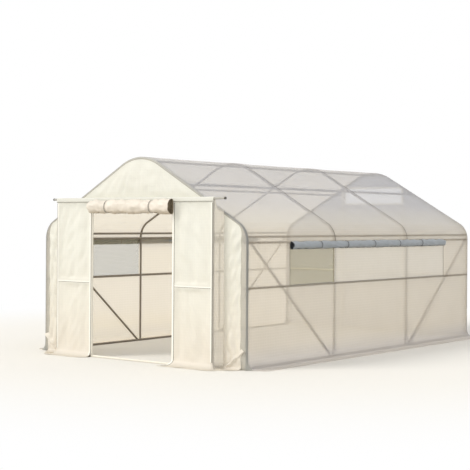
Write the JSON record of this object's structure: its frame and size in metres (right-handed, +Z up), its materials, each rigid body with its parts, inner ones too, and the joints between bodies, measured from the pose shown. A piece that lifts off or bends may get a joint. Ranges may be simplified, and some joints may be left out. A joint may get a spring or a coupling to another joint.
{
  "type": "polytunnel greenhouse",
  "caption": "Walk-in polytunnel greenhouse: bent tube hoops under a translucent film cover, with a rolled-up door curtain in a shallow door surround and rolled-up side windows.",
  "frame": {"origin": "middle of the footprint at ground level", "axes": "+Y from the door end to the back end, +Z up, +X to the right as seen from the door"},
  "size_m": [3.4022, 5.3772, 2.2508],
  "materials": {
    "frame_tube": "galvanised steel tube",
    "cover_film": "translucent woven polyethylene",
    "end_film": "cream woven polyethylene",
    "flap_film": "rolled woven polyethylene, grey outside",
    "insect_mesh": "fine woven insect mesh",
    "end_cap": "moulded end cap"
  },
  "bodies": {
    "root": {"hoop_1": "frame_tube", "hoop_2": "frame_tube", "hoop_3": "frame_tube", "hoop_4": "frame_tube", "ridge_pole": "frame_tube", "roof_purlins": "frame_tube", "eave_purlins": "frame_tube", "window_head_rails": "frame_tube", "side_rails": "frame_tube", "base_rails": "frame_tube", "wall_braces": "frame_tube", "back_posts": "frame_tube", "back_rails": "frame_tube", "porch_posts": "frame_tube", "door_posts": "frame_tube", "porch_rails": "frame_tube", "threshold_bar": "frame_tube", "porch_top_bar": "frame_tube", "porch_links": "frame_tube", "front_base_rails": "frame_tube", "roof_cover": "cover_film", "wall_cover_right": "cover_film", "wall_cover_left": "cover_film", "side_skirts": "cover_film", "front_skirts": "cover_film", "back_skirt": "cover_film", "front_gable": "end_film", "front_wall_right": "end_film", "front_wall_left": "end_film", "back_wall": "end_film", "porch_panel_right": "end_film", "porch_panel_left": "end_film", "door_header": "end_film", "porch_sides": "end_film", "porch_roof": "end_film", "door_roll": "end_film", "window_film": "cover_film", "window_rolls": "flap_film", "window_mesh": "insect_mesh", "back_vent_mesh": "insect_mesh", "bar_caps": "end_cap"}
  },
  "joints": []
}
